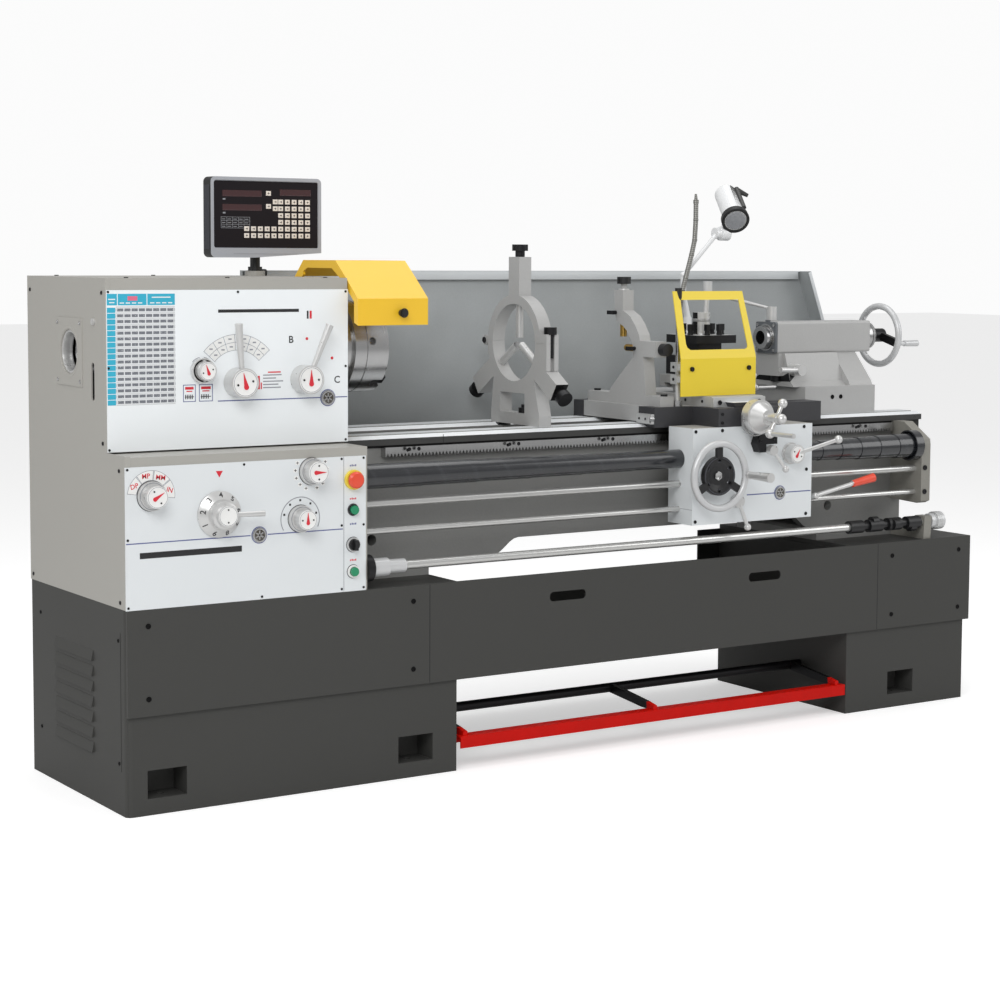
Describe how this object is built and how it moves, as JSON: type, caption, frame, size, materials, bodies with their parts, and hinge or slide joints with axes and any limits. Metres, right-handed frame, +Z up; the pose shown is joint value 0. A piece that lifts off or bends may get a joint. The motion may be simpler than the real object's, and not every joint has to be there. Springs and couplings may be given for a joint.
{
  "type": "engine lathe",
  "caption": "Engine lathe on a two-cabinet base with geared headstock, carriage, tailstock, steady and follow rests, guards, lamp and digital readout.",
  "frame": {"origin": "on the floor, at the middle of the machine's length and depth", "axes": "+X from the headstock to the tailstock, +Y from the operator's side to the back, +Z up"},
  "size_m": [2.4784, 0.7688, 1.4036],
  "materials": {
    "cabinet_grey": "semi-matte dark grey paint",
    "casing_grey": "satin light warm grey paint",
    "panel_silver": "satin silver grey paint",
    "casting_grey": "satin mid grey paint over cast iron",
    "bed_iron": "painted casting with ground ways",
    "sheet_grey": "brushed grey sheet",
    "bright_steel": "turned and ground steel",
    "chrome": "bright plated steel",
    "guard_yellow": "gloss yellow paint",
    "black_plastic": "matt black",
    "black_steel": "black oxide steel",
    "red_paint": "red paint on tread plate",
    "red_plastic": "gloss red",
    "green_plastic": "gloss green",
    "lamp_white": "satin cast aluminium",
    "belt_rubber": "matt black rubber",
    "motor_blue": "blue grey paint"
  },
  "bodies": {
    "base": {"left_pedestal": "cabinet_grey", "right_pedestal": "cabinet_grey", "chip_tray": "cabinet_grey", "bed": "bed_iron", "headstock_casing": "casing_grey", "end_cover": "casing_grey", "gearbox_casing": "casing_grey", "splash_guard": "sheet_grey", "rod_bracket": "casing_grey", "main_motor": "motor_blue", "drive_belts": "belt_rubber", "cover_left": "black_steel", "cover_right": "black_steel"},
    "spindle": {"spindle": "bright_steel", "chuck": "bright_steel"},
    "jaw_1": {"jaw_1": "black_steel"},
    "jaw_2": {"jaw_2": "black_steel"},
    "jaw_3": {"jaw_3": "black_steel"},
    "motor_pulley": {"motor_pulley": "black_steel"},
    "chuck_guard": {"chuck_guard": "guard_yellow"},
    "readout": {"readout": "black_plastic"},
    "speed_lever": {"speed_lever": "chrome"},
    "range_lever": {"range_lever": "chrome"},
    "direction_knob": {"direction_knob": "chrome"},
    "thread_knob": {"thread_knob": "chrome"},
    "feed_dial": {"feed_dial": "chrome"},
    "feed_knob_upper": {"feed_knob_upper": "chrome"},
    "feed_knob_lower": {"feed_knob_lower": "chrome"},
    "emergency_stop": {"emergency_stop": "red_plastic"},
    "start_button": {"start_button": "green_plastic"},
    "jog_button": {"jog_button": "green_plastic"},
    "mode_selector": {"mode_selector": "black_plastic"},
    "leadscrew": {"leadscrew": "bright_steel"},
    "feed_rod": {"feed_rod": "bright_steel"},
    "control_rod": {"control_rod": "bright_steel"},
    "stop_rod": {"stop_rod": "bright_steel"},
    "carriage": {"saddle": "casting_grey", "apron": "casing_grey", "follow_rest": "casting_grey", "coolant_hose": "chrome"},
    "carriage_handwheel": {"carriage_handwheel": "lamp_white"},
    "cross_slide": {"cross_slide": "casting_grey"},
    "cross_crank": {"cross_crank": "chrome"},
    "top_slide": {"top_slide": "casting_grey"},
    "top_crank": {"top_crank": "chrome"},
    "tool_post": {"tool_post": "black_steel"},
    "tool_guard": {"tool_guard": "guard_yellow"},
    "lamp": {"lamp": "lamp_white"},
    "feed_lever": {"feed_lever": "chrome"},
    "half_nut_lever": {"half_nut_lever": "chrome"},
    "feed_select_lever": {"feed_select_lever": "chrome"},
    "start_lever": {"start_lever": "chrome"},
    "steady_base": {"steady_base": "casting_grey"},
    "steady_top": {"steady_top": "casting_grey"},
    "tailstock": {"tailstock": "casting_grey"},
    "quill": {"quill": "bright_steel"},
    "tail_handwheel": {"tail_handwheel": "lamp_white"},
    "quill_lock": {"quill_lock": "chrome"},
    "tail_clamp": {"tail_clamp": "chrome"},
    "foot_brake": {"foot_brake": "red_paint"}
  },
  "joints": [
    {"name": "spindle_spin", "type": "hinge", "parent": "base", "child": "spindle", "pos_m": [-1.2355, 0.115, 0.988], "axis": [1, 0, 0], "continuous": true},
    {"name": "jaw_1_travel", "type": "slide", "parent": "spindle", "child": "jaw_1", "axis": [0, -0.3746, 0.9272], "range_m": [-0.008, 0.006]},
    {"name": "jaw_2_travel", "type": "slide", "parent": "spindle", "child": "jaw_2", "axis": [0, -0.6157, -0.788], "range_m": [-0.008, 0.006]},
    {"name": "jaw_3_travel", "type": "slide", "parent": "spindle", "child": "jaw_3", "axis": [0, 0.9903, -0.1392], "range_m": [-0.008, 0.006]},
    {"name": "motor_spin", "type": "hinge", "parent": "base", "child": "motor_pulley", "pos_m": [-1.2355, 0.115, 0.205], "axis": [1, 0, 0], "continuous": true},
    {"name": "chuck_guard_lift", "type": "hinge", "parent": "base", "child": "chuck_guard", "pos_m": [-0.6485, 0.24, 1.098], "axis": [-1, 0, 0], "range_deg": [0, 46]},
    {"name": "readout_swivel", "type": "hinge", "parent": "base", "child": "readout", "pos_m": [-0.6835, 0.31, 1.1525], "axis": [0, 0, 1], "range_deg": [-40, 40]},
    {"name": "speed_lever_turn", "type": "hinge", "parent": "base", "child": "speed_lever", "pos_m": [-0.9275, -0.087, 0.922], "axis": [0, -1, 0], "range_deg": [-52, 32]},
    {"name": "range_lever_turn", "type": "hinge", "parent": "base", "child": "range_lever", "pos_m": [-0.7635, -0.087, 0.925], "axis": [0, -1, 0], "range_deg": [-30, 75]},
    {"name": "direction_knob_turn", "type": "hinge", "parent": "base", "child": "direction_knob", "pos_m": [-1.0125, -0.087, 0.95], "axis": [0, -1, 0], "range_deg": [-45, 45]},
    {"name": "thread_knob_turn", "type": "hinge", "parent": "base", "child": "thread_knob", "pos_m": [-1.1785, -0.19, 0.692], "axis": [0, -1, 0], "range_deg": [-90, 90]},
    {"name": "feed_dial_turn", "type": "hinge", "parent": "base", "child": "feed_dial", "pos_m": [-1.0215, -0.19, 0.644], "axis": [0, -1, 0], "continuous": true},
    {"name": "feed_knob_upper_turn", "type": "hinge", "parent": "base", "child": "feed_knob_upper", "pos_m": [-0.7955, -0.19, 0.726], "axis": [0, -1, 0], "range_deg": [-90, 90]},
    {"name": "feed_knob_lower_turn", "type": "hinge", "parent": "base", "child": "feed_knob_lower", "pos_m": [-0.8235, -0.19, 0.622], "axis": [0, -1, 0], "range_deg": [-90, 90]},
    {"name": "emergency_stop_press", "type": "slide", "parent": "base", "child": "emergency_stop", "axis": [0, 1, 0], "range_m": [0, 0.006]},
    {"name": "start_press", "type": "slide", "parent": "base", "child": "start_button", "axis": [0, 1, 0], "range_m": [0, 0.003], "stiffness_N_per_m": 600},
    {"name": "jog_press", "type": "slide", "parent": "base", "child": "jog_button", "axis": [0, 1, 0], "range_m": [0, 0.003], "stiffness_N_per_m": 600},
    {"name": "mode_selector_turn", "type": "hinge", "parent": "base", "child": "mode_selector", "pos_m": [-0.6905, -0.19, 0.555], "axis": [0, -1, 0], "range_deg": [-45, 45]},
    {"name": "leadscrew_spin", "type": "hinge", "parent": "base", "child": "leadscrew", "pos_m": [-1.2355, -0.133, 0.7], "axis": [1, 0, 0], "continuous": true},
    {"name": "feed_rod_spin", "type": "hinge", "parent": "base", "child": "feed_rod", "pos_m": [-1.2355, -0.133, 0.637], "axis": [1, 0, 0], "continuous": true},
    {"name": "control_rod_turn", "type": "hinge", "parent": "base", "child": "control_rod", "pos_m": [-1.2355, -0.133, 0.573], "axis": [1, 0, 0], "range_deg": [-20, 20]},
    {"name": "stop_rod_turn", "type": "hinge", "parent": "base", "child": "stop_rod", "pos_m": [-1.2355, -0.168, 0.495], "axis": [1, 0, 0], "continuous": true},
    {"name": "carriage_travel", "type": "slide", "parent": "base", "child": "carriage", "axis": [1, 0, 0], "range_m": [-0.2, 0.015], "deforming": ["cover_left", "cover_right"]},
    {"name": "carriage_handwheel_turn", "type": "hinge", "parent": "carriage", "child": "carriage_handwheel", "pos_m": [0.3245, -0.198, 0.662], "axis": [0, -1, 0], "continuous": true},
    {"name": "cross_slide_travel", "type": "slide", "parent": "carriage", "child": "cross_slide", "axis": [0, 1, 0], "range_m": [-0.055, 0.07]},
    {"name": "cross_crank_turn", "type": "hinge", "parent": "carriage", "child": "cross_crank", "pos_m": [0.4525, -0.204, 0.805], "axis": [0, -1, 0], "continuous": true},
    {"name": "top_slide_travel", "type": "slide", "parent": "cross_slide", "child": "top_slide", "axis": [1, 0, 0], "range_m": [-0.05, 0.005]},
    {"name": "top_crank_turn", "type": "hinge", "parent": "top_slide", "child": "top_crank", "pos_m": [0.6225, 0.055, 0.889], "axis": [1, 0, 0], "continuous": true},
    {"name": "tool_post_index", "type": "hinge", "parent": "top_slide", "child": "tool_post", "pos_m": [0.4845, 0.055, 0.898], "axis": [0, 0, 1], "range_deg": [-90, 90]},
    {"name": "tool_guard_swing", "type": "hinge", "parent": "carriage", "child": "tool_guard", "pos_m": [0.3175, -0.064, 0.826], "axis": [0, 0, -1], "range_deg": [0, 20]},
    {"name": "lamp_turn", "type": "hinge", "parent": "carriage", "child": "lamp", "pos_m": [0.5945, 0.257, 0.826], "axis": [0, 0, 1], "range_deg": [-20, 60]},
    {"name": "feed_lever_turn", "type": "hinge", "parent": "carriage", "child": "feed_lever", "pos_m": [0.5875, -0.194, 0.704], "axis": [0, -1, 0], "range_deg": [-25, 25]},
    {"name": "half_nut_turn", "type": "hinge", "parent": "carriage", "child": "half_nut_lever", "pos_m": [0.4995, -0.216, 0.718], "axis": [0, -1, 0], "range_deg": [0, 40]},
    {"name": "feed_select_turn", "type": "hinge", "parent": "carriage", "child": "feed_select_lever", "pos_m": [0.4095, -0.19, 0.591], "axis": [0, -1, 0], "range_deg": [-25, 25]},
    {"name": "start_lever_turn", "type": "hinge", "parent": "carriage", "child": "start_lever", "pos_m": [0.6605, -0.133, 0.573], "axis": [1, 0, 0], "range_deg": [-20, 20]},
    {"name": "steady_travel", "type": "slide", "parent": "base", "child": "steady_base", "axis": [1, 0, 0], "range_m": [-0.22, 0.18]},
    {"name": "steady_open", "type": "hinge", "parent": "steady_base", "child": "steady_top", "pos_m": [-0.0455, 0.247, 0.99], "axis": [-1, 0, 0], "range_deg": [0, 60]},
    {"name": "tailstock_travel", "type": "slide", "parent": "base", "child": "tailstock", "axis": [1, 0, 0], "range_m": [0, 0.06]},
    {"name": "quill_travel", "type": "slide", "parent": "tailstock", "child": "quill", "axis": [1, 0, 0], "range_m": [-0.075, 0]},
    {"name": "tail_handwheel_turn", "type": "hinge", "parent": "tailstock", "child": "tail_handwheel", "pos_m": [1.1095, 0.115, 0.988], "axis": [1, 0, 0], "continuous": true},
    {"name": "quill_lock_turn", "type": "hinge", "parent": "tailstock", "child": "quill_lock", "pos_m": [0.7725, 0.115, 1.038], "axis": [0, 0, 1], "range_deg": [-60, 60]},
    {"name": "tail_clamp_turn", "type": "hinge", "parent": "tailstock", "child": "tail_clamp", "pos_m": [0.7895, 0.019, 0.903], "axis": [0, -1, 0], "range_deg": [-90, 20]},
    {"name": "foot_brake_press", "type": "hinge", "parent": "base", "child": "foot_brake", "pos_m": [-1.2355, 0.01, 0.105], "axis": [1, 0, 0], "range_deg": [0, 7], "stiffness_Nm_per_rad": 400, "springref_deg": -6.88}
  ],
  "couplings": [
    {"joint": "jaw_2_travel", "follows": "jaw_1_travel", "ratio": 1},
    {"joint": "jaw_3_travel", "follows": "jaw_1_travel", "ratio": 1},
    {"joint": "motor_spin", "follows": "spindle_spin", "ratio": 1.9},
    {"joint": "carriage_handwheel_turn", "follows": "carriage_travel", "rad_per_m": 104.72},
    {"joint": "cross_crank_turn", "follows": "cross_slide_travel", "rad_per_m": -628.32},
    {"joint": "top_crank_turn", "follows": "top_slide_travel", "rad_per_m": -1047.2},
    {"joint": "start_lever_turn", "follows": "control_rod_turn", "ratio": 1},
    {"joint": "tail_handwheel_turn", "follows": "quill_travel", "rad_per_m": -1256.6}
  ]
}
